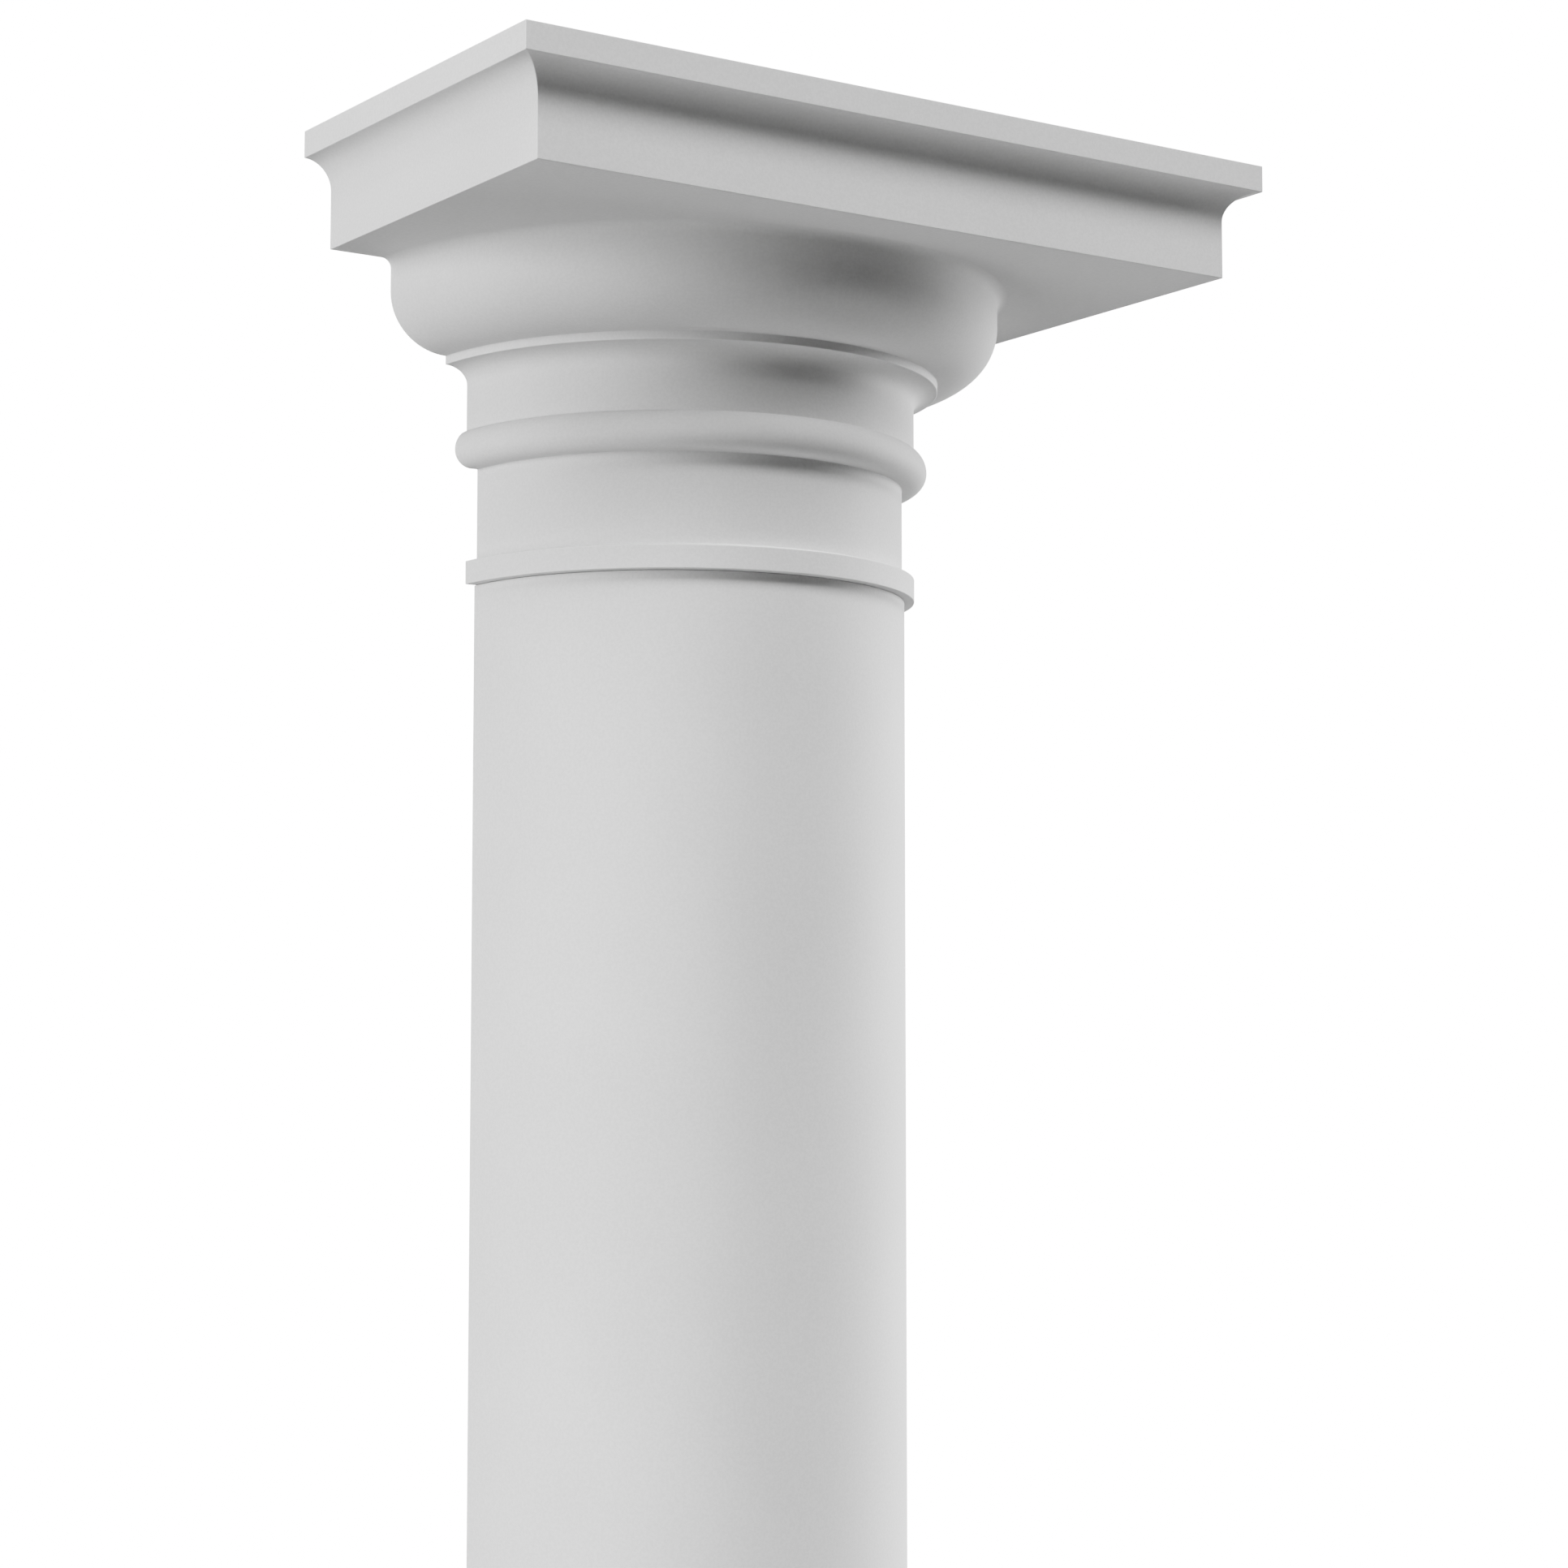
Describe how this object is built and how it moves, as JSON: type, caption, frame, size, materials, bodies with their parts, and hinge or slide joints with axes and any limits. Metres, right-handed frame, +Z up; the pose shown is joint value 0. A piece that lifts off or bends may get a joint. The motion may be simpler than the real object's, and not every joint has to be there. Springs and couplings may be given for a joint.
{
  "type": "engaged half column",
  "caption": "Half-round engaged column with a square abacus, moulded capital, plain shaft, torus base and plinth, flat at the back so that it stands against a wall.",
  "frame": {"origin": "on the floor, under the middle of the column's box; the column's own axis and its flat back lie 136.1 mm behind it, at +Y", "axes": "+Z up along the shaft, +Y into the wall behind, so the front faces -Y; +X to the right for someone who looks at the front"},
  "size_m": [0.5444, 0.2722, 2.4],
  "materials": {
    "stone": "matte"
  },
  "bodies": {
    "root": {"plinth": "stone", "base": "stone", "shaft": "stone", "capital": "stone"}
  },
  "joints": []
}
